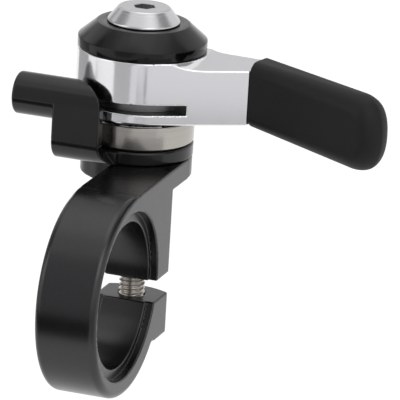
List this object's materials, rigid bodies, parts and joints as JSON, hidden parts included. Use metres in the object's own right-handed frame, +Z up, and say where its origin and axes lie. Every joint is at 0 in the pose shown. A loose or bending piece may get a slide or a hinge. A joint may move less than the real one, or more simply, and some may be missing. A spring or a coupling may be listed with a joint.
{
  "type": "bicycle gear shifter",
  "caption": "Bar-mounted indexed gear shifter: a polished lever with a rubber grip turns on a pivot above a split handlebar clamp, with a cable stop at its side.",
  "frame": {"origin": "axis of the handlebar bore, midway along the clamp band", "axes": "+X along the handlebar bore toward the lever's grip, +Y from the band toward the pivot, +Z up along the lever's pivot"},
  "size_m": [0.0594, 0.0488, 0.0535],
  "materials": {
    "black_anodised": "black anodised, satin",
    "black_coated": "satin black",
    "black_cap": "semi-gloss black",
    "stainless": "machined",
    "brushed_steel": "turned, satin",
    "polished_steel": "polished",
    "polished_aluminium": "polished",
    "brass": "stamped",
    "acetal": "moulded",
    "rubber": "matte"
  },
  "bodies": {
    "base": {"clamp_band": "black_anodised", "clamp_screw": "stainless", "pivot_post": "stainless", "cable_stop": "black_coated", "index_housing": "brushed_steel", "detent_plate": "stainless", "stop_pin": "stainless", "thrust_washer": "acetal", "top_cap": "black_cap", "bolt_washer": "acetal", "pivot_bolt": "polished_steel"},
    "lever": {"lever": "polished_aluminium", "lever_bush": "acetal", "lever_grip": "rubber", "ball_carrier": "brass", "detent_ball_1": "stainless", "detent_ball_2": "stainless", "detent_ball_3": "stainless", "pressure_plate": "stainless", "disc_spring_lower": "stainless", "disc_spring_upper": "stainless"}
  },
  "joints": [
    {"name": "lever_turn", "type": "hinge", "parent": "base", "child": "lever", "pos_m": [-0.0038, 0.02355, 0.027], "axis": [0, 0, 1], "range_deg": [-2, 60]}
  ]
}
